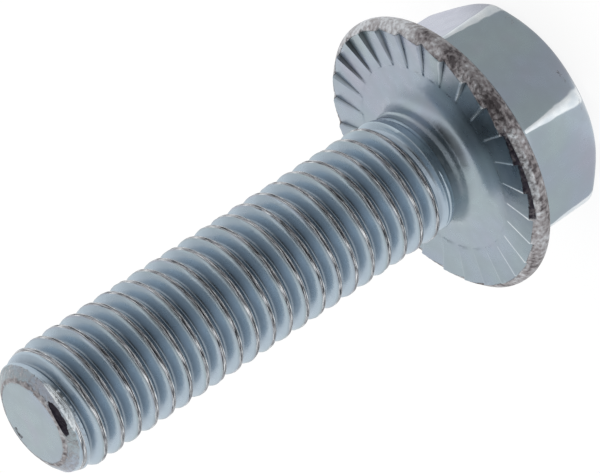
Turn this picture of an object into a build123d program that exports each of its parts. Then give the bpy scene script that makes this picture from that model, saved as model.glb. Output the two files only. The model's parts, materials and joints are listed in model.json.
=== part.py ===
"""Serrated hexagon flange bolt, M8 x 30, standing on its head with the thread pointing up.

The origin is the middle of the flat top of the head and +Z runs along the shank to its point.
+X points at one corner of the hexagon.  All sizes are in millimetres and degrees.
"""

import os
from math import ceil, cos, radians, sin, tan

from build123d import *

# Hexagon of the head.
across_flats = 12.85
hexagon_corner_radius = 0.7
head_height = 7.17             # flat top of the head to the smooth ring of the flange face
top_circle_diameter = 11.9     # where the chamfer of the hexagon starts
head_chamfer_angle = 38.0      # measured from the flat top

# Flange forged with the head.
flange_diameter = 17.6
flange_rim_radius = 0.8        # rounding of the rim's widest part and its back
trimmed_edge_angle = 20.0      # the rounding starts this far above the widest part
flange_cone_angle = 25.0       # back of the flange, measured from the flange face

# Ratchet serrations: ramps that slide when the bolt is tightened and walls that bite.
serration_count = 28
serration_height = 0.27        # at their outer ends
serration_outer_diameter = 16.6
serration_inner_diameter = 12.1
serration_fade = 0.9           # share of the inner radius where their height would reach nothing
serration_wall_lean = 22.0     # lean of the steep wall from upright
serration_land = 0.09          # narrow flat left on each crest, at its outer end
serration_start_angle = 26.5

# Neck between the flange face and the thread.
neck_diameter = 7.2            # the blank that the thread was rolled on
neck_fillet_radius = 1.3
neck_length = 0.45             # plain neck between its fillet and the thread
root_runout_length = 2.1       # along which the roots grow shallow
crest_runout_length = 1.3      # along which the crests sink into the neck

# Right-hand rolled thread with its chamfered point.
nominal_length = 30.0          # crests of the serrations to the point
thread_diameter = 7.79
thread_pitch = 1.25
thread_depth = 0.69
thread_angle = 60.0
root_flat = 0.2
thread_start_height = 0.6      # first root above the flange face, inside the neck
point_diameter = 5.3
point_chamfer_diameter = 6.9
point_chamfer_angle = 31.0     # measured from the end face
point_taper_length = 1.45      # along which the first crests grow to full size

# Radii and heights worked out from the sizes above.
flange_radius = flange_diameter / 2
neck_radius = neck_diameter / 2
crest_radius = thread_diameter / 2
root_radius = crest_radius - thread_depth
face_z = head_height
point_z = face_z + serration_height + nominal_length
rim_centre_radius = flange_radius - flange_rim_radius
rim_centre_z = face_z + serration_height - flange_rim_radius
ring_start = serration_inner_diameter / 2
ring_end = serration_outer_diameter / 2
fade_radius = serration_fade * ring_start
neck_start_z = face_z + neck_fillet_radius
runout_start_z = neck_start_z + neck_length
overlap = 0.3                  # how far shapes reach into or past each other before they join


def ring_height(radius):
    """Height of the serrated ring over the flange face, which grows outward."""
    return serration_height * (radius - fade_radius) / (ring_end - fade_radius)


def helix_turn(radius, start_z):
    """One turn of a right-hand helix that starts on the XZ plane."""
    return Edge.make_helix(thread_pitch, thread_pitch, radius).moved(Location((0, 0, start_z)))


def rod_end(profile, start_z):
    """The flat face and the screw face that close the threaded rod where a turn starts."""
    outline = [Vector(0, 0, start_z)]
    outline += [Vector(radius, 0, start_z + rise) for radius, rise in profile]
    outline += [Vector(0, 0, start_z + thread_pitch)]
    axis_edge = Edge.make_line(outline[0], outline[-1])
    screw_face = Face.make_surface_from_curves(axis_edge, helix_turn(profile[0][0], start_z))
    return [Face(Wire.make_polygon(outline, close=True)), screw_face]


def threaded_rod(start_z, end_z):
    """A solid rod with the full thread, closed by whole turns just outside the two heights."""
    flank_rise = thread_depth * tan(radians(thread_angle / 2))
    profile = [
        (root_radius, 0),
        (root_radius, root_flat),
        (crest_radius, root_flat + flank_rise),
        (crest_radius, thread_pitch - flank_rise),
        (root_radius, thread_pitch),
    ]
    turns = ceil((end_z - start_z) / thread_pitch)
    faces = rod_end(profile, start_z) + rod_end(profile, start_z + turns * thread_pitch)
    for turn in range(turns):
        turn_z = start_z + turn * thread_pitch
        edges = [helix_turn(radius, turn_z + rise) for radius, rise in profile]
        for lower, upper in zip(edges, edges[1:]):
            faces.append(Face.make_surface_from_curves(lower, upper))
    return Solid(Shell(faces))


# Hexagon with its rounded corners, cut back by the cone of the chamfer.
with BuildPart() as hexagon:
    with BuildSketch():
        RegularPolygon(across_flats / 2, 6, major_radius=False)
        fillet(vertices(), hexagon_corner_radius)
    extrude(amount=rim_centre_z)
    with BuildSketch(Plane.XZ):
        top_radius = top_circle_diameter / 2
        with BuildLine():
            Polyline(
                (0, 0),
                (top_radius, 0),
                (top_radius + rim_centre_z / tan(radians(head_chamfer_angle)), rim_centre_z),
                (0, rim_centre_z),
                close=True,
            )
        make_face()
    revolve(axis=Axis.Z, mode=Mode.INTERSECT)

# Threaded shank.  Its crests sink into the neck at one end and are cut by the point's chamfer
# at the other; between the two ends the outline stands clear of the crests.
crest_runout_slope = (crest_radius - neck_radius) / crest_runout_length
crest_full_z = runout_start_z + crest_runout_length
chamfer_depth = (point_chamfer_diameter - point_diameter) / 2 * tan(radians(point_chamfer_angle))
chamfer_end_z = point_z - chamfer_depth
point_taper_slope = (crest_radius - point_chamfer_diameter / 2) / point_taper_length
thread_start_z = face_z + thread_start_height
with BuildPart() as shank:
    add(threaded_rod(thread_start_z, point_z + overlap))
    with BuildSketch(Plane.XZ):
        with BuildLine():
            Polyline(
                (0, thread_start_z),
                (crest_radius - crest_runout_slope * (crest_full_z - thread_start_z), thread_start_z),
                (crest_radius + overlap, crest_full_z + overlap / crest_runout_slope),
                (
                    crest_radius + overlap,
                    chamfer_end_z - point_taper_length - overlap / point_taper_slope,
                ),
                (point_chamfer_diameter / 2, chamfer_end_z),
                (point_diameter / 2, point_z),
                (0, point_z),
                close=True,
            )
        make_face()
    revolve(axis=Axis.Z, mode=Mode.INTERSECT)

# One notch between two serrations.  Its floor line lies on the flange face and its wall and its
# ramp grow outward, so that each serration fades out where the ring starts.
lean = tan(radians(serration_wall_lean))
ramp_angle = radians(360 / serration_count) - (serration_height * lean + serration_land) / ring_end
notch_rise = 1.5               # the notch reaches above the ring by this factor
with BuildPart() as serration_notch:
    for distance in ((ring_start + fade_radius) / 2, flange_radius + overlap):
        wall_top = notch_rise * ring_height(distance)
        ramp_top = notch_rise * ring_height(distance / cos(ramp_angle))
        ramp_run = notch_rise * distance * tan(ramp_angle)
        with BuildSketch(Plane(origin=(distance, 0, face_z), x_dir=(0, 1, 0), z_dir=(1, 0, 0))):
            with BuildLine():
                Polyline((0, 0), (wall_top * lean, wall_top), (-ramp_run, ramp_top), close=True)
            make_face()
    loft(ruled=True)

with BuildPart() as flange_bolt:
    # Flange with its cone, rounded rim and raised ring, and the neck with its fillet.  The
    # neck ends in the cone on which the roots of the thread run out.
    cone_start = (
        rim_centre_radius + flange_rim_radius * sin(radians(flange_cone_angle)),
        rim_centre_z - flange_rim_radius * cos(radians(flange_cone_angle)),
    )
    trimmed_edge_end = (
        rim_centre_radius + flange_rim_radius * cos(radians(trimmed_edge_angle)),
        rim_centre_z + flange_rim_radius * sin(radians(trimmed_edge_angle)),
    )
    cone_end_z = cone_start[1] - cone_start[0] * tan(radians(flange_cone_angle))
    root_runout_slope = (neck_radius - root_radius) / root_runout_length
    runout_tip_z = runout_start_z + root_runout_length + overlap
    with BuildSketch(Plane.XZ):
        with BuildLine():
            ring_corner = (ring_end, face_z + serration_height)
            Line(ring_corner, trimmed_edge_end)
            RadiusArc(trimmed_edge_end, cone_start, flange_rim_radius)
            Polyline(
                cone_start,
                (0, cone_end_z),
                (0, runout_tip_z),
                (root_radius - root_runout_slope * overlap, runout_tip_z),
                (neck_radius, runout_start_z),
                (neck_radius, neck_start_z),
            )
            Bezier(
                (neck_radius, neck_start_z),
                (neck_radius, face_z),
                (neck_radius + neck_fillet_radius, face_z),
            )
            Polyline(
                (neck_radius + neck_fillet_radius, face_z),
                (ring_start, face_z),
                (ring_start, face_z + ring_height(ring_start)),
                ring_corner,
            )
        make_face()
    revolve(axis=Axis.Z)
    add(hexagon.part)
    add(shank.part)
    with PolarLocations(0, serration_count, serration_start_angle):
        add(serration_notch.part, mode=Mode.SUBTRACT)

flange_bolt.part.label = "flange_bolt"
os.makedirs("parts", exist_ok=True)
export_step(flange_bolt.part, "parts/flange_bolt.step")
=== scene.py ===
"""Looks of a zinc-plated serrated hexagon flange bolt that stands on its head, point up.

Sizes are in metres and angles in radians.  The origin is the middle of the head's flat top,
+Z runs along the shank to its point and +X points at one corner of the hexagon.
"""

import json
from math import atan2, cos, pi, radians, sin, tan

import bpy
import numpy as np
from mathutils import Matrix, Vector, noise

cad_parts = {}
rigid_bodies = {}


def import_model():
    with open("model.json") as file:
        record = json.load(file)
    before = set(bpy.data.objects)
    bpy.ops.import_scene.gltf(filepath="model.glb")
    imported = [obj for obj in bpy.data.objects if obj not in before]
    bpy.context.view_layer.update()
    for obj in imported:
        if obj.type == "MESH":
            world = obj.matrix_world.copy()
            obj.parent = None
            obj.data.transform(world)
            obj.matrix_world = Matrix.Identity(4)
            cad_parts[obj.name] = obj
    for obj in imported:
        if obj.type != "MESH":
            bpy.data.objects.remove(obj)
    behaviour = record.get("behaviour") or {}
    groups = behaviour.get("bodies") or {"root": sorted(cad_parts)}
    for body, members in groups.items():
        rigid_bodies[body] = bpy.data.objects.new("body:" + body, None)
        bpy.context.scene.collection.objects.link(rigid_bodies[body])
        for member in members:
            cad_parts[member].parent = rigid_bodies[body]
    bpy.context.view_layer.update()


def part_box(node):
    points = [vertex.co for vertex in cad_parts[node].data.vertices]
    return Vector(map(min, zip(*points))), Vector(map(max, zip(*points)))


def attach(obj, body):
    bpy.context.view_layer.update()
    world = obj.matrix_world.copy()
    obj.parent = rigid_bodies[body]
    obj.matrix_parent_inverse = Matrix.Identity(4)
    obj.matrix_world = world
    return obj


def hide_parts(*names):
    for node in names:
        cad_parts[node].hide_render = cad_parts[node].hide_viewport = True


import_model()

MM = 0.001

# ---------------------------------------------------------------------------- sizes

low_corner, high_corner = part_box("flange_bolt")
point_z = high_corner.z
flange_radius = (high_corner.x - low_corner.x) / 2

# Hexagon of the head.
across_flats = 12.85 * MM
corner_radius_at_flange = 0.35 * MM
corner_radius_at_top = 0.95 * MM     # the blank fills the corners less near the top
face_z = 7.17 * MM
top_circle_radius = 5.95 * MM
head_chamfer_angle = radians(38)
top_edge_rounding = 0.5 * MM
chamfer_edge_rounding = 0.45 * MM
flange_joint_rounding = 0.5 * MM

# Flange and its ratchet serrations.
rim_radius = 0.8 * MM
trimmed_edge_angle = radians(20)
flange_cone_angle = radians(25)
serration_count = 28
serration_height = 0.27 * MM
serration_outer_radius = 8.3 * MM
serration_inner_radius = 6.05 * MM
serration_fade = 0.9                 # share of the inner radius where their height would be nothing
serration_wall_lean = radians(22)
serration_land = 0.09 * MM
serration_start_angle = radians(26.5)

# Neck.
neck_radius = 3.6 * MM
neck_fillet_radius = 1.3 * MM
neck_length = 0.45 * MM
root_runout_length = 2.1 * MM
crest_runout_length = 1.3 * MM
last_ridge_height = 0.13 * MM        # ridges that the rolling left where the thread runs out
last_ridge_width = 0.16              # as a share of the pitch

# Rolled thread and point.
crest_radius = 3.895 * MM
thread_pitch = 1.25 * MM
thread_depth = 0.69 * MM
thread_flank_angle = radians(30)
root_flat = 0.12 * MM
first_crest_z = face_z + 0.6 * MM + 0.725 * MM     # height of a crest's middle on the XZ plane
root_rounding = 0.12 * MM
crest_rounding = 0.16 * MM
seam_depth = 0.07 * MM
seam_width = 0.035 * MM
seam_wander = 0.12 * MM              # how far the seam strays from the crest's middle
crest_scar_depth = 0.04 * MM         # places where the crest didn't fill
crest_scar_reach = 0.16 * MM
runout_rounding = 0.1 * MM
point_rounding = 0.06 * MM
point_radius = 2.65 * MM
point_chamfer_radius = 3.45 * MM
point_chamfer_angle = radians(31)
point_taper_length = 1.45 * MM

# Columns round the axis and rows across the thread; the crest needs the closest rows.
columns_per_serration = 24
columns_per_turn = 144
crest_rows = [0, 0.03, 0.06, 0.09, 0.12, 0.15, 0.19, 0.25, 0.33, 0.42, 0.50, 0.55, 0.59]
end_face_rings = 12

# The side that the marks, painted glints, painted reflections and painted shade are placed from, and the
# flank that turned lilac.
marked_side = radians(-106.76)
lilac_flank = radians(-30)

# Worked out from the sizes above.
wall_angle = serration_height / serration_outer_radius * tan(serration_wall_lean)
crest_end = wall_angle + serration_land / serration_outer_radius
rim_centre_radius = flange_radius - rim_radius
rim_centre_z = face_z + serration_height - rim_radius
cone_start_radius = rim_centre_radius + rim_radius * sin(flange_cone_angle)
cone_start_z = rim_centre_z - rim_radius * cos(flange_cone_angle)
trim_start_radius = rim_centre_radius + rim_radius * cos(trimmed_edge_angle)
trim_start_z = rim_centre_z + rim_radius * sin(trimmed_edge_angle)
fade_radius = serration_fade * serration_inner_radius
neck_start_z = face_z + neck_fillet_radius
runout_start_z = neck_start_z + neck_length
root_radius = crest_radius - thread_depth
chamfer_end_z = point_z - (point_chamfer_radius - point_radius) * tan(point_chamfer_angle)

# What the material is told of each point of a mesh: shares from 0 to 1, except for tarnish,
# which is below 0 on bright parts, and across, the millimetres from the crest's middle line.
trait_names = (
    "rim", "tarnish",                # rough trimmed steel, and how dark it is there
    "foot", "lip",                   # painted shade at the foot and a painted highlight on the top of each serration's wall
    "edge",                          # painted highlight bands along the hexagon's edges
    "lilac", "dull",                 # another tone of the zinc, and painted dark reflection and shade
    "stain", "glint",                # stains and painted dark reflections, and painted glints
    "crest", "across", "scuff",      # the rolled crest, and how sharp its streaks of painted glints and dark lines are on each side
    "depth",                         # how far down in the thread's groove
)


# ---------------------------------------------------------------------------- helpers

def soft_min(a, b, reach):
    """The lower of two surfaces, with the edge between them rounded over the reach."""
    near = np.clip(reach - np.abs(a - b), 0, None) / reach
    return np.minimum(a, b) - near ** 2 * reach / 4


def soft_max(a, b, reach):
    """The higher of two surfaces, with the corner between them filled over the reach."""
    return -soft_min(-a, -b, reach)


def rising(value, start, end):
    """0 up to the start, then rising evenly to 1 at the end."""
    return np.clip((value - start) / (end - start), 0, 1)


def beside(distance, full, none):
    """1 up to one distance to either side, fading evenly to 0 at another."""
    return np.clip((none - np.abs(distance)) / (none - full), 0, 1)


def patch(across, along, level):
    """A rounded patch that fades out; its distances are shares of its size, its level about 1."""
    return np.clip(1.5 * (level - across ** 2 - along ** 2), 0, 1)


def round_from_marked_side(angle):
    """Degrees round the axis from the side that the marks and the painted light are placed from."""
    return np.degrees((marked_side - angle + pi) % (2 * pi) - pi)


def grid_quads(index):
    """Quads between the neighbouring vertices of a 2-D array of vertex numbers."""
    return np.stack([index[:-1, :-1], index[1:, :-1], index[1:, 1:], index[:-1, 1:]], -1).reshape(-1, 4)


def same_all_round(radii, heights, count):
    """One profile, repeated for every direction."""
    return np.repeat(np.stack([radii + 0 * heights, heights + 0 * radii], -1)[None], count, 0)


def spun(profile, angles):
    """Turns profiles (directions x points x 2) round the axis into points in space."""
    radius = profile[..., 0]
    angle = angles[:, None]
    return np.stack([radius * np.cos(angle), radius * np.sin(angle), profile[..., 1]], -1)


def make_piece(name, points, quads, traits):
    """A mesh object from points and quads, with one number per vertex for each trait."""
    mesh = bpy.data.meshes.new(name)
    mesh.from_pydata(points.tolist(), [], quads.tolist())
    for trait in trait_names:
        layer = mesh.attributes.new(trait, "FLOAT", "POINT")
        if trait in traits:
            layer.data.foreach_set("value", np.asarray(traits[trait], float).ravel())
    piece = bpy.data.objects.new(name, mesh)
    bpy.context.scene.collection.objects.link(piece)
    for other in bpy.context.scene.objects:
        other.select_set(other is piece)
    bpy.context.view_layer.objects.active = piece
    bpy.ops.object.mode_set(mode="EDIT")
    bpy.ops.mesh.select_all(action="SELECT")
    bpy.ops.mesh.remove_doubles(threshold=0.0005 * MM)
    bpy.ops.mesh.normals_make_consistent(inside=False)
    bpy.ops.object.mode_set(mode="OBJECT")
    bpy.ops.object.shade_smooth_by_angle(angle=radians(35))
    return piece


# ---------------------------------------------------------------------------- head

def from_corner(angle):
    """Angle from the nearest corner of the hexagon."""
    return np.abs((angle + pi / 6) % (pi / 3) - pi / 6)


def hexagon_reach(angle, corner_radius):
    """Distance from the axis to the side of the rounded hexagon in a direction."""
    away = from_corner(angle)
    flat = across_flats / 2 / np.cos(pi / 6 - away)
    centre = (across_flats / 2 - corner_radius) / cos(pi / 6)
    arc_end = atan2(corner_radius * sin(pi / 6), centre + corner_radius * cos(pi / 6))
    inside = np.clip(corner_radius ** 2 - (centre * np.sin(away)) ** 2, 0, None)
    arc = centre * np.cos(away) + np.sqrt(inside)
    return np.where(away < arc_end, arc, flat)


def flank_ends(angles):
    """Heights where each direction's flank starts at the chamfer and ends at the flange's cone."""
    chamfer_run = hexagon_reach(angles, corner_radius_at_top) - top_circle_radius
    cone_run = cone_start_radius - hexagon_reach(angles, corner_radius_at_flange)
    return chamfer_run * tan(head_chamfer_angle), cone_start_z - cone_run * tan(flange_cone_angle)


def rounded_run(corners, roundings, rows):
    """Points along a bent line whose corners are rounded, for every direction at once.

    corners is directions x corners x 2.  Each inner corner has its own rounding, and each
    straight run its own number of rows.
    """
    bend_shares = np.arange(6) / 6
    longest = 0.45                   # the most of a straight run that one rounding takes up
    last = corners.shape[1] - 1
    points = []
    start = corners[:, 0]
    for number in range(1, last + 1):
        here = corners[:, number]
        before = here - corners[:, number - 1]
        length = np.linalg.norm(before, axis=1, keepdims=True)
        rounding = roundings[number - 1] if number < last else 0
        end = here - before / np.maximum(length, 1e-9) * np.minimum(rounding, longest * length)
        for share in np.arange(rows[number - 1]) / rows[number - 1]:
            points.append(start + (end - start) * share)
        if number == last:
            points.append(end)
            continue
        after = corners[:, number + 1] - here
        length = np.linalg.norm(after, axis=1, keepdims=True)
        start = here + after / np.maximum(length, 1e-9) * np.minimum(rounding, longest * length)
        for share in bend_shares:
            points.append(end * (1 - share) ** 2 + here * 2 * share * (1 - share) + start * share ** 2)
    return np.stack(points, 1)


def head_directions():
    """Directions of the head's columns: some fall on the foot and the top of each wall."""
    step = 2 * pi / serration_count
    ramp = np.linspace(crest_end, step, columns_per_serration - 2)[:-1]
    one = np.concatenate([[0, 0.5 * wall_angle, wall_angle], ramp])
    starts = serration_start_angle + step * np.arange(serration_count)
    return (starts[:, None] + one[None, :]).ravel()


def serration_share(angle):
    """How far up its wall or ramp each direction is, from the foot at 0 to the crest at 1."""
    step = 2 * pi / serration_count
    within = (angle - serration_start_angle) % step
    within = np.where(within > step - 1e-6, 0, within)
    wall = np.minimum(within / wall_angle, 1)
    return np.where(within <= crest_end, wall, (step - within) / (step - crest_end))


def ring_rise(radius):
    """Height of the serrated ring over the flange face, which grows outward."""
    return serration_height * (radius - fade_radius) / (serration_outer_radius - fade_radius)


def last_ridges(z, angle):
    """Height of the faint ridges where the thread runs out into the neck."""
    turn = (z - first_crest_z) / thread_pitch - angle / (2 * pi)
    from_ridge = (turn + 0.5) % 1 - 0.5
    ridge = last_ridge_height * np.exp(-(from_ridge / last_ridge_width) ** 2)
    start = rising(z, face_z + 0.75 * MM, face_z + 1.25 * MM)
    end = rising(z, runout_start_z + 0.3 * MM, runout_start_z + 0.9 * MM)
    return ridge * start * (1 - end)


def back_profile(angles):
    """The head from the middle of its flat top over the chamfer, flank and cone to the rim."""
    ones = np.ones_like(angles)
    chamfer_z, joint_z = flank_ends(angles)
    corners = (
        (0 * ones, 0 * ones),
        (top_circle_radius * ones, 0 * ones),
        (hexagon_reach(angles, corner_radius_at_top), chamfer_z),
        (hexagon_reach(angles, corner_radius_at_flange), joint_z),
        (cone_start_radius * ones, cone_start_z * ones),
    )
    roundings = (top_edge_rounding, chamfer_edge_rounding, flange_joint_rounding)
    return rounded_run(np.stack([np.stack(corner, -1) for corner in corners], 1), roundings, (14, 6, 12, 8))


def rim_profile(count):
    """The flange's rim, rounded from the cone to where the trimmed band starts."""
    turns = np.linspace(pi - flange_cone_angle, pi / 2 - trimmed_edge_angle, 18)[1:]
    radii = rim_centre_radius + rim_radius * np.sin(turns)
    return same_all_round(radii, rim_centre_z + rim_radius * np.cos(turns), count)


def serrated_profile(angles, band_rows, ring_rows):
    """The trimmed band and the ring, both cut down to the serration's ramp in each direction."""
    shares = np.linspace(0, 1, band_rows + 1)[1:]
    ring_radii = np.linspace(serration_outer_radius, serration_inner_radius, ring_rows + 1)[1:]
    band_radii = trim_start_radius + (serration_outer_radius - trim_start_radius) * shares
    band_heights = trim_start_z + (face_z + serration_height - trim_start_z) * shares
    radii = np.concatenate([band_radii, ring_radii])
    heights = np.concatenate([band_heights, face_z + ring_rise(ring_radii)])
    serrated = same_all_round(radii, heights, len(angles))
    ramps = face_z + serration_share(angles)[:, None] * ring_rise(radii)
    serrated[..., 1] = np.minimum(serrated[..., 1], ramps)
    return serrated


def stem_profile(angles):
    """The smooth part of the bearing face, the neck fillet and the neck with its last ridges."""
    count = len(angles)
    face_radii = np.linspace(serration_inner_radius - 0.05 * MM, neck_radius + neck_fillet_radius, 8)
    face = same_all_round(face_radii, np.full(8, face_z), count)
    shares = np.linspace(0, 1, 14)[1:]
    fillet_radii = neck_radius + neck_fillet_radius * (1 - shares) ** 2
    fillet = same_all_round(fillet_radii, face_z + neck_fillet_radius * shares ** 2, count)
    neck = same_all_round(np.full(9, neck_radius), np.linspace(neck_start_z, runout_start_z, 10)[1:], count)
    stem = np.concatenate([fillet, neck], 1)
    stem[..., 0] += last_ridges(stem[..., 1], angles[:, None])
    return np.concatenate([face, stem], 1)


def head_traits(angles, radius, height):
    """The head's traits that depend on where a point is, not on which column it belongs to."""
    away = round_from_marked_side(angles)
    chamfer_z, joint_z = [heights.max() for heights in flank_ends(angles)]

    trimmed = rising(radius, serration_outer_radius, serration_outer_radius + 0.12 * MM)
    trimmed = trimmed * rising(height, cone_start_z, cone_start_z + 0.25 * MM)
    # A thin worn line where the flanks meet the chamfer.
    worn = beside(height - chamfer_z, 0.05 * MM, 0.3 * MM) * (radius > top_circle_radius)
    rim = np.maximum(trimmed, 0.3 * worn)
    tarnish = np.interp(away, [-180, -90, -60, -35, -5, 10, 42, 60, 90, 180],
                        [0.3, -1, -0.9, 0.2, 0.5, 0.8, 0.8, 0.1, -0.2, 0.3])

    # The painted highlight bands on the hexagon's edges get wider toward the top of the head.
    half_width = (0.09 + 0.34 * rising(-height, -joint_z, -chamfer_z)) * MM
    edge = beside(from_corner(angles) * radius, 0.5 * half_width, 1.5 * half_width)
    edge = edge * (height < joint_z - 0.1 * MM) * (radius > top_circle_radius + 0.5 * MM)

    # The trimmed band has a dark line beside the serrations and painted glints outside it.
    on_band = (height > rim_centre_z) * (radius > serration_outer_radius - 0.01 * MM)
    on_band = 0.5 * on_band * np.interp(away, [-180, -5, 8, 44, 54, 180], [0, 0, 1, 1, 0, 0])
    stain = on_band * beside(radius - 8.43 * MM, 0.182 * MM, 0.252 * MM)
    glint = on_band * beside(radius - 8.68 * MM, 0.11 * MM, 0.16 * MM)

    # Over part of the bearing face and the neck the colour is darker: a painted reflection of the shank on
    # the face and painted shade in the neck.
    on_face = (height > face_z - 0.01 * MM) * rising(radius, 5.2 * MM, 6.0 * MM)
    on_neck = (radius < 5 * MM) * 0.5 * rising(height, face_z + 0.3 * MM, face_z + 0.8 * MM)
    dull = np.interp(away, [-180, -45, -15, 35, 70, 180], [0, 0, 1, 1, 0, 0])
    dull = dull * np.maximum(on_face, on_neck)
    # The passivation is thicker on one flank of the hexagon, which turns it lilac.
    turned = (angles - lilac_flank + pi) % (2 * pi) - pi
    lilac = beside(turned, radians(27), radians(30)) * (height < joint_z)
    return {
        "rim": rim, "tarnish": tarnish + 0 * radius, "edge": edge, "stain": stain, "glint": glint,
        "dull": dull, "lilac": lilac}


def head_piece():
    """The hexagon, the flange with its serrations, and the neck up to the thread."""
    angles = head_directions()
    count = len(angles)
    band_rows = 8
    ring_rows = 14
    back = back_profile(angles)
    rim = rim_profile(count)
    serrated = serrated_profile(angles, band_rows, ring_rows)
    profile = np.concatenate([back, rim, serrated, stem_profile(angles)], 1)
    # The first direction comes again at the end and closes the round.
    profile = np.concatenate([profile, profile[:1]], 0)
    angles = np.concatenate([angles, angles[:1]])
    index = np.arange(profile.shape[0] * profile.shape[1]).reshape(profile.shape[:2])
    traits = head_traits(angles[:, None], profile[..., 0], profile[..., 1])

    wall_start = back.shape[1] + rim.shape[1] + band_rows - 2
    wall_rows = slice(wall_start, wall_start + ring_rows)
    # Painted shade at the foot of each serration's wall and a painted highlight along its top.
    foot = np.zeros(index.shape)
    foot[0::columns_per_serration, wall_rows] = 1
    foot[1::columns_per_serration, wall_rows] = 0.6
    lip = np.zeros(index.shape)
    lip[2::columns_per_serration, wall_rows] = 1
    lip[3::columns_per_serration, wall_rows] = 0.6
    # The painted highlight on the tops is stronger on one side.
    away = round_from_marked_side(angles)[:, None]
    lip = lip * np.interp(away, [-45, -15, 60, 100], [0.15, 1, 1, 0.3])
    traits.update(foot=foot, lip=lip)
    return make_piece("bolt_head", spun(profile, angles).reshape(-1, 3), grid_quads(index), traits)


# ---------------------------------------------------------------------------- shank

def shank_radius(z, from_crest, wander):
    """Radius of the shank at a height, at a distance from the crest's middle line."""
    flank_run = thread_pitch / 2 - root_flat / 2 - np.abs(from_crest)
    flank = root_radius + flank_run / tan(thread_flank_angle)
    radius = soft_min(soft_max(flank, root_radius, root_rounding), crest_radius, crest_rounding)
    # Rolling leaves a seam along the crest, where the metal from both flanks meets.
    radius = radius - seam_depth * np.exp(-((from_crest - wander) / seam_width) ** 2)
    share = rising(z, runout_start_z, runout_start_z + root_runout_length)
    radius = soft_max(radius, neck_radius + (root_radius - neck_radius) * share, runout_rounding)
    share = (z - runout_start_z) / crest_runout_length
    radius = soft_min(radius, neck_radius + (crest_radius - neck_radius) * share, runout_rounding / 2)
    slope = (crest_radius - point_chamfer_radius) / point_taper_length
    radius = soft_min(radius, point_chamfer_radius + (chamfer_end_z - z) * slope, point_rounding)
    return soft_min(radius, point_radius + (point_z - z) / tan(point_chamfer_angle), point_rounding)


def wavering(turns, pace, seed):
    """A smooth irregular line along the thread, between about -0.5 and 0.5."""
    return np.array([noise.noise(Vector((turn * pace, seed, 0.5))) for turn in turns])


def shank_traits(z, angle, radius, from_crest):
    """The shank's traits at its points."""
    away = round_from_marked_side(angle)
    depth = np.clip((crest_radius - radius) / thread_depth, 0, 1)
    bevel = rising(z, chamfer_end_z - 0.1 * MM, chamfer_end_z)
    crest = beside(from_crest, 0.1 * MM, 0.225 * MM)
    crest = crest * rising(z, runout_start_z, runout_start_z + 1.2 * MM)
    # A painted dark reflection on the bevel, with a painted highlight line beside it.
    stain = bevel * patch((away - 12) / 27, (radius - 2.97 * MM) / (0.27 * MM), 1.0)
    glint = patch((away - 2) / 30, (radius - 3.42 * MM) / (0.14 * MM), 1.2)
    glint = glint * (z > chamfer_end_z - 0.5 * MM)
    # The thread's first turn and the end face's edge stay rough and poorly covered.
    torn = rising(z, chamfer_end_z - 1.0 * MM, chamfer_end_z - 0.4 * MM) * beside(depth, 0.3, 0.8)
    end_edge = bevel * beside(radius - point_radius, 0.14 * MM, 0.28 * MM)
    rim = np.maximum(np.maximum(0.36 * bevel, 0.42 * torn), 0.6 * end_edge)
    scuff = np.interp(away, [-180, -20, 5, 45, 70, 180], [0, 0, 1, 1, 0, 0])
    return {
        "crest": crest * (1 - bevel), "across": from_crest / MM, "scuff": scuff, "rim": rim,
        "depth": depth * (1 - bevel), "stain": stain, "glint": glint}


def shank_piece():
    """The thread with its run-outs, as one sheet wound round the axis, and the flat end face."""
    half_turn = np.array(crest_rows) * MM
    across = np.concatenate([half_turn, [thread_pitch / 2], thread_pitch - half_turn[:0:-1]])
    rows = len(across)
    first_turn = int((runout_start_z - first_crest_z) / thread_pitch) - 1
    turns = int((point_z - first_crest_z) / thread_pitch) + 2 - first_turn
    along = np.arange((turns + 1) * columns_per_turn + 1) / columns_per_turn
    lifted = first_crest_z + (first_turn + along[:, None]) * thread_pitch + across[None, :]
    z = np.clip(lifted, runout_start_z, point_z)
    angle = 2 * pi * along[:, None] + 0 * across[None, :]
    from_crest = (z - lifted + across[None, :] + thread_pitch / 2) % thread_pitch - thread_pitch / 2

    radius = shank_radius(z, from_crest, wavering(along, 9, 0.0)[:, None] * seam_wander)
    ridges = last_ridges(z, angle)
    radius = np.maximum(radius, np.minimum(neck_radius, radius) + ridges)
    scars = np.clip(wavering(along, 30, 7.0)[:, None], 0, 1) * (np.abs(from_crest) < crest_scar_reach)
    radius = radius - crest_scar_depth * scars
    sheet = np.stack([radius * np.cos(angle), radius * np.sin(angle), z], -1).reshape(-1, 3)
    index = np.arange(len(sheet)).reshape(-1, rows)
    quads = grid_quads(np.concatenate([index[:-columns_per_turn], index[columns_per_turn:, :1]], 1))
    # Quads that lie wholly past an end have no height left and go.
    quads = quads[np.ptp(sheet[:, 2][quads], axis=1) > 1e-9]

    ring_angles = 2 * pi * np.arange(columns_per_turn + 1) / columns_per_turn
    ring_radii = point_radius * np.linspace(1, 0, end_face_rings)
    rings = same_all_round(ring_radii, np.full(end_face_rings, point_z), len(ring_angles))
    end_index = len(sheet) + np.arange(len(ring_angles) * end_face_rings).reshape(-1, end_face_rings)
    points = np.concatenate([sheet, spun(rings, ring_angles).reshape(-1, 3)])
    quads = np.concatenate([quads, grid_quads(end_index)])

    plain = np.zeros(end_index.size)
    traits = shank_traits(z, angle, radius, from_crest)
    traits = {name: np.concatenate([values.ravel(), plain]) for name, values in traits.items()}
    # A small nick at the edge of the end face, on the side away from the other marks.
    far = np.abs(round_from_marked_side(ring_angles))[:, None] > 170
    nick = 0.45 * far * (ring_radii > 2.1 * MM)[None, :]
    traits["stain"][len(sheet):] = nick.ravel()
    return make_piece("threaded_shank", points, quads, traits)


# ---------------------------------------------------------------------------- materials

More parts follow.
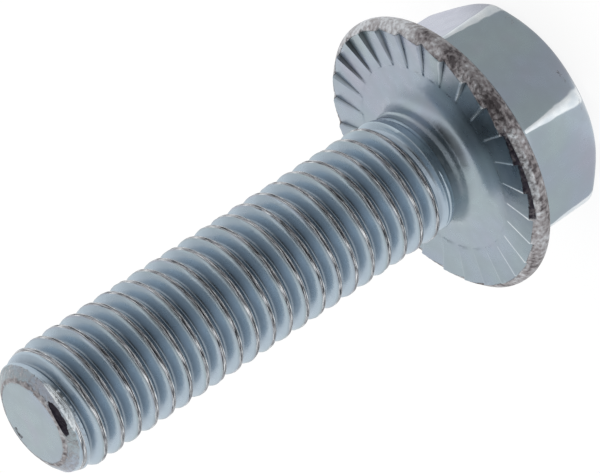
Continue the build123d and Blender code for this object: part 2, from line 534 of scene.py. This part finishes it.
def linear(hex_colour):
    """An sRGB hex colour as the linear RGBA that a shader socket takes."""
    parts = [int(hex_colour[i:i + 2], 16) / 255 for i in (1, 3, 5)]
    return [p / 12.92 if p <= 0.04045 else ((p + 0.055) / 1.055) ** 2.4 for p in parts] + [1]


def add_node(tree, kind, settings=None, output=0):
    """Adds a node with its settings and links, and gives one of its outputs.

    A setting is the value of a property or a socket, another node's output that is linked to a
    socket, or under "stops" the places and hex colours of a colour ramp.
    """
    node = tree.nodes.new(kind)
    for name, value in (settings or {}).items():
        if isinstance(value, bpy.types.NodeSocket):
            tree.links.new(value, node.inputs[name])
        elif name == "stops":
            elements = node.color_ramp.elements
            while len(elements) < len(value):
                elements.new(0.5)
            for element, (place, colour) in zip(elements, value):
                element.position = place
                element.color = linear(colour)
        elif isinstance(name, int) or name in node.inputs:
            node.inputs[name].default_value = value
        else:
            setattr(node, name, value)
    return node.outputs[output] if len(node.outputs) else None


def zinc_plated_steel():
    """Steel with bright electroplated zinc and a clear blue passivation.

    The zinc follows the forged and rolled steel in a fine satin, and the passivation film gives
    it pale blue, green and lilac clouds.  It is worn or never covered well where the rim was
    trimmed and where the thread's crest closed in a seam: there it is rough and brown-grey.
    """
    material = bpy.data.materials.new("zinc_plated_steel")
    material.use_nodes = True
    tree = material.node_tree
    tree.nodes.clear()
    place = add_node(tree, "ShaderNodeTexCoord", output="Object")
    trait = {}
    for name in trait_names:
        trait[name] = add_node(tree, "ShaderNodeAttribute", {"attribute_name": name}, "Fac")

    # Soft random patches, with how wide one is and how much finer detail it has.  The satin is
    # drawn at 0.12 mm instead of the plating's true 0.01 mm grain, so that it shows.
    patches = {}
    for name, width, detail in (
        ("film", 4.5 * MM, 2), ("mottle", 0.9 * MM, 2), ("rough", 0.28 * MM, 4),
        ("worn", 1.6 * MM, 2), ("satin", 0.12 * MM, 3), ("dents", 1.3 * MM, 3),
    ):
        patches[name] = add_node(
            tree, "ShaderNodeTexNoise", {"Vector": place, "Scale": 1 / width, "Detail": detail}, "Fac")
    for name, low, high in (("mottle", 0.3, 0.75), ("dents", 0.25, 0.6)):
        patches[name] = add_node(tree, "ShaderNodeMapRange", {
            "interpolation_type": "SMOOTHSTEP", "Value": patches[name], "From Min": low, "From Max": high})
    mottle = patches["mottle"]
    rough = patches["rough"]

    # Streaks about 0.04 mm wide that run 0.9 mm along the crest.
    streak_place = {}
    for number, axis in enumerate("XY"):
        part = add_node(tree, "ShaderNodeSeparateXYZ", {"Vector": place}, axis)
        streak_place[number] = add_node(
            tree, "ShaderNodeMath", {"operation": "MULTIPLY", 0: part, 1: 1 / (0.9 * MM)})
    streak_place[2] = add_node(
        tree, "ShaderNodeMath", {"operation": "MULTIPLY", 0: trait["across"], 1: 1 / 0.042})
    streak_place = add_node(tree, "ShaderNodeCombineXYZ", streak_place)
    streaks = add_node(
        tree, "ShaderNodeTexNoise", {"Vector": streak_place, "Scale": 1.0, "Detail": 3.0}, "Fac")
    # On one side they stand out more, as painted glints and dark lines.
    centred = add_node(tree, "ShaderNodeMath", {"operation": "SUBTRACT", 0: streaks, 1: 0.5})
    contrast = add_node(tree, "ShaderNodeMath", {"operation": "MULTIPLY", 0: trait["scuff"], 1: 0.6})
    streak_tone = add_node(
        tree, "ShaderNodeMath", {"operation": "MULTIPLY_ADD", 0: centred, 1: contrast, 2: streaks})
    # The trimmed rim has small marks in wide patches, and both are darker where it is tarnished.
    rim_tone = add_node(tree, "ShaderNodeMath", {"operation": "MULTIPLY", 0: patches["worn"], 1: 0.45})
    for source, amount in ((rough, 0.55), (trait["tarnish"], -0.07)):
        rim_tone = add_node(
            tree, "ShaderNodeMath", {"operation": "MULTIPLY_ADD", 0: source, 1: amount, 2: rim_tone})

    film = [(0.30, "#a7abb9"), (0.42, "#a3aebb"), (0.52, "#a2afb7"), (0.62, "#a4b2b7"), (0.72, "#a9aeba")]
    # The groove's blue-grey is the zinc's tint, and its darkening toward the root is painted shade.
    groove = [(0.0, "#b0bfc9"), (0.5, "#aebdca"), (0.85, "#9ca9b5"), (1.0, "#818d98")]
    # The crest's darkest and brightest streaks are painted dark lines and painted glints over its rolled
    # grain.
    crest = [(0.34, "#3c4145"), (0.43, "#85878c"), (0.50, "#a0a1a6"), (0.57, "#b3b8bd"), (0.67, "#f0f2f4")]
    rim = [(0.36, "#5a5557"), (0.42, "#837e80"), (0.48, "#9b9799"), (0.54, "#aeadb0"), (0.64, "#cfd2d6")]
    tones = {}
    for name, value, stops in (
        ("film", patches["film"], film),
        ("mottle", mottle, [(0, "#9ba5ac"), (1, "#a2abb2")]),
        ("lilac", mottle, [(0, "#b1b5c8"), (1, "#b9bccd")]),
        # A dark tone for the painted reflection and shade on the bearing face and neck.
        ("dull", mottle, [(0, "#636f78"), (1, "#6d7982")]),
        ("groove", trait["depth"], groove),
        ("crest", streak_tone, crest),
        ("rim", rim_tone, rim),
        # A near-white tone for the painted highlights on the edges, the serrations' tops and the glints.
        ("bright", mottle, [(0, "#f0f5f8"), (1, "#dae3ea")]),
        # A dark tone for the painted shade at the serrations' feet.
        ("foot", mottle, [(0, "#666e74"), (1, "#7b8288")]),
        # A very dark tone for stains and painted dark reflections.
        ("stain", mottle, [(0, "#26232b"), (1, "#3d3a42")]),
    ):
        tones[name] = add_node(tree, "ShaderNodeValToRGB", {"Fac": value, "stops": stops})

    # Each layer lies over the ones before it.  After its colour come where it lies, the patches
    # that break up its edge and by how much, how it sets in, and how much it covers at most.
    shares = {}
    colour = tones["film"]
    for name, tone, source, breaking, amount, fade, low, high, most in (
        ("mottle", "mottle", mottle, mottle, 0, "LINEAR", 0, 1, 0.3),
        ("lilac", "lilac", trait["lilac"], mottle, 0, "LINEAR", 0, 1, 0.8),
        # Painted reflection of the shank on the bearing face and painted shade in the neck.
        ("dull", "dull", trait["dull"], mottle, 0, "LINEAR", 0, 1, 0.72),
        # Painted shade in the thread's groove, over the zinc's blue tint.
        ("groove", "groove", trait["depth"], mottle, 0, "SMOOTHSTEP", 0.02, 0.2, 1),
        ("crest", "crest", trait["crest"], streaks, 0.6, "SMOOTHSTEP", 0.95, 1.25, 1),
        ("rim", "rim", trait["rim"], rough, 0.6, "SMOOTHSTEP", 0.55, 0.85, 1),
        # Painted highlights on the serrations' tops, then on the hexagon's edges.
        ("lip", "bright", trait["lip"], mottle, 0, "SMOOTHSTEP", 0.1, 0.8, 0.75),
        ("edge", "bright", trait["edge"], mottle, 0.3, "SMOOTHSTEP", 0.4, 0.8, 1),
        # Painted shade at the foot of each serration's wall.
        ("foot", "foot", trait["foot"], mottle, 0, "SMOOTHSTEP", 0.4, 0.95, 0.75),
        # Stains and painted dark reflections, then painted glints.
        ("stain", "stain", trait["stain"], rough, 0.5, "SMOOTHSTEP", 0.6, 0.78, 1),
        ("glint", "bright", trait["glint"], rough, 0.4, "SMOOTHSTEP", 0.6, 0.9, 1),
    ):
        if amount:
            source = add_node(
                tree, "ShaderNodeMath", {"operation": "MULTIPLY_ADD", 0: breaking, 1: amount, 2: source})
        shares[name] = add_node(tree, "ShaderNodeMapRange", {
            "interpolation_type": fade, "Value": source, "From Min": low, "From Max": high, "To Max": most})
        colour = add_node(
            tree, "ShaderNodeMix", {"data_type": "RGBA", 0: shares[name], 6: colour, 7: tones[tone]}, 2)

    torn = add_node(tree, "ShaderNodeMath", {"operation": "MULTIPLY", 0: rough, 1: shares["rim"]})
    rolled = add_node(tree, "ShaderNodeMath", {"operation": "MULTIPLY", 0: streaks, 1: shares["crest"]})
    relief = {}
    for height, strength, depth in (
        (patches["satin"], 0.35, 0.01 * MM),
        (patches["dents"], 0.5, 0.02 * MM),
        (torn, 1.0, 0.12 * MM),
        (rolled, 1.0, 0.035 * MM),
    ):
        bump = {"Height": height, "Strength": strength, "Distance": depth}
        relief = {"Normal": add_node(tree, "ShaderNodeBump", {**bump, **relief})}
    satin = add_node(tree, "ShaderNodeMapRange", {
        "interpolation_type": "SMOOTHSTEP", "Value": mottle, "To Min": 0.27, "To Max": 0.34})
    roughness = add_node(
        tree, "ShaderNodeMath", {"operation": "MULTIPLY_ADD", 0: shares["rim"], 1: 0.12, 2: satin})
    surface = add_node(tree, "ShaderNodeBsdfPrincipled", {
        "Metallic": 1.0, "Base Color": colour, "Roughness": roughness, **relief})
    add_node(tree, "ShaderNodeOutputMaterial", {"Surface": surface})
    return material


# ---------------------------------------------------------------------------- the bolt

zinc = zinc_plated_steel()
for piece in (head_piece(), shank_piece()):
    piece.data.materials.append(zinc)
    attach(piece, "root")
    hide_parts("flange_bolt")

# ---------------------------------------------------------------------------- stage and light

# The tent's lighter and darker parts: the direction from the bolt, the angles in degrees where
# the part fades out and where it is full, and how much it adds to the tent's brightness.
tent_parts = {
    "grey side": ((0.277, -0.904, -0.326), 62, 10, -0.38),
    "bright side": ((0.840, 0.300, -0.452), 52, 25, 0.03),
    "bright strip": ((-0.609, -0.647, -0.458), 22, 8, 0.12),
    "shaded side": ((-0.865, 0.204, -0.458), 42, 12, -0.10),
    "overhead": ((0.0, 0.0, 1.0), 45, 10, -0.12),
    "shaded corner": ((0.600, 0.250, 0.760), 37, 10, -0.28),
    "dark opening": ((-0.256, -0.851, 0.458), 56, 21, -0.76),
}
floor_half_width = 1.5
floor_drop = -0.02 * MM              # so that the paper and the head's flat top don't lie in one plane
floor_look = (0.889, -0.458)         # how far out and down a mirrored point of the floor looks
paper_glow = 1.1
paper_glow_share = 0.8               # how much of the paper's own shading the glow hides


def tent_brightness(tree, direction):
    """How bright the white tent is in a direction."""
    level = 1.0
    for place, outer, inner, change in tent_parts.values():
        near = add_node(
            tree, "ShaderNodeVectorMath", {"operation": "DOT_PRODUCT", 0: direction, 1: place}, "Value")
        share = add_node(tree, "ShaderNodeMapRange", {
            "interpolation_type": "SMOOTHSTEP", "Value": near,
            "From Min": cos(radians(outer)), "From Max": cos(radians(inner))})
        level = add_node(
            tree, "ShaderNodeMath", {"operation": "MULTIPLY_ADD", 0: share, 1: change, 2: level})
    return level


def floor_sheet():
    """Plain white paper under the head, which keeps a soft shadow."""
    half = floor_half_width
    corners = [(x, y, floor_drop) for x, y in ((-half, -half), (half, -half), (half, half), (-half, half))]
    mesh = bpy.data.meshes.new("floor")
    mesh.from_pydata(corners, [], [(0, 1, 2, 3)])
    sheet = bpy.data.objects.new("floor", mesh)
    bpy.context.scene.collection.objects.link(sheet)
    material = bpy.data.materials.new("white_paper")
    material.use_nodes = True
    tree = material.node_tree
    tree.nodes.clear()
    paper = add_node(tree, "ShaderNodeBsdfDiffuse", {"Color": linear("#f4f4f4")})
    white = add_node(tree, "ShaderNodeEmission", {"Color": linear("#ffffff"), "Strength": paper_glow})
    # In the metal the floor is as uneven as the tent beyond it.
    look = add_node(tree, "ShaderNodeTexCoord", output="Object")
    out, down = floor_look
    for settings in ({"operation": "NORMALIZE"}, {"operation": "SCALE", "Scale": out},
                     {"operation": "ADD", 1: (0, 0, down)}):
        look = add_node(tree, "ShaderNodeVectorMath", {**settings, 0: look})
    brightness = tent_brightness(tree, look)
    tent = add_node(tree, "ShaderNodeEmission", {"Color": linear("#ffffff"), "Strength": brightness})
    seen, glossy, through = [
        add_node(tree, "ShaderNodeLightPath", output=ray)
        for ray in ("Is Camera Ray", "Is Glossy Ray", "Is Transmission Ray")]
    mirrored = add_node(tree, "ShaderNodeMath", {"operation": "MAXIMUM", 0: glossy, 1: through})
    glow = add_node(tree, "ShaderNodeMath", {"operation": "MULTIPLY", 0: seen, 1: paper_glow_share})
    plain = add_node(tree, "ShaderNodeMixShader", {0: glow, 1: paper, 2: white})
    surface = add_node(tree, "ShaderNodeMixShader", {0: mirrored, 1: plain, 2: tent})
    add_node(tree, "ShaderNodeOutputMaterial", {"Surface": surface})
    mesh.materials.append(material)


def tent_world():
    """The white tent all round: plain white to the eye, uneven as the metal mirrors it."""
    world = bpy.data.worlds.new("white_tent")
    bpy.context.scene.world = world
    world.use_nodes = True
    tree = world.node_tree
    tree.nodes.clear()
    seen = add_node(tree, "ShaderNodeLightPath", output="Is Camera Ray")
    direction = add_node(tree, "ShaderNodeTexCoord", output="Generated")
    brightness = tent_brightness(tree, direction)
    tent = add_node(tree, "ShaderNodeBackground", {"Color": linear("#ffffff"), "Strength": brightness})
    white = add_node(tree, "ShaderNodeBackground", {"Color": linear("#ffffff"), "Strength": 1.0})
    surface = add_node(tree, "ShaderNodeMixShader", {0: seen, 1: tent, 2: white})
    add_node(tree, "ShaderNodeOutputWorld", {"Surface": surface})


floor_sheet()
tent_world()

# ---------------------------------------------------------------------------- camera

camera_place = Vector((-87.96, -293.60, 175.11)) * MM
camera_right = Vector((-0.63880, -0.20646, -0.74115))
camera_up = Vector((0.72541, -0.48258, -0.49081))
camera_back = Vector((-0.25633, -0.85117, 0.45804))
lens = bpy.data.cameras.new("camera")
lens.sensor_width = 36
lens.lens = 364.7
lens.clip_start = 0.01
camera = bpy.data.objects.new("camera", lens)
turn = Matrix((camera_right, camera_up, camera_back)).transposed().to_4x4()
camera.matrix_world = Matrix.Translation(camera_place) @ turn
bpy.context.scene.collection.objects.link(camera)
bpy.context.scene.camera = camera
bpy.context.scene.view_settings.view_transform = "Standard"
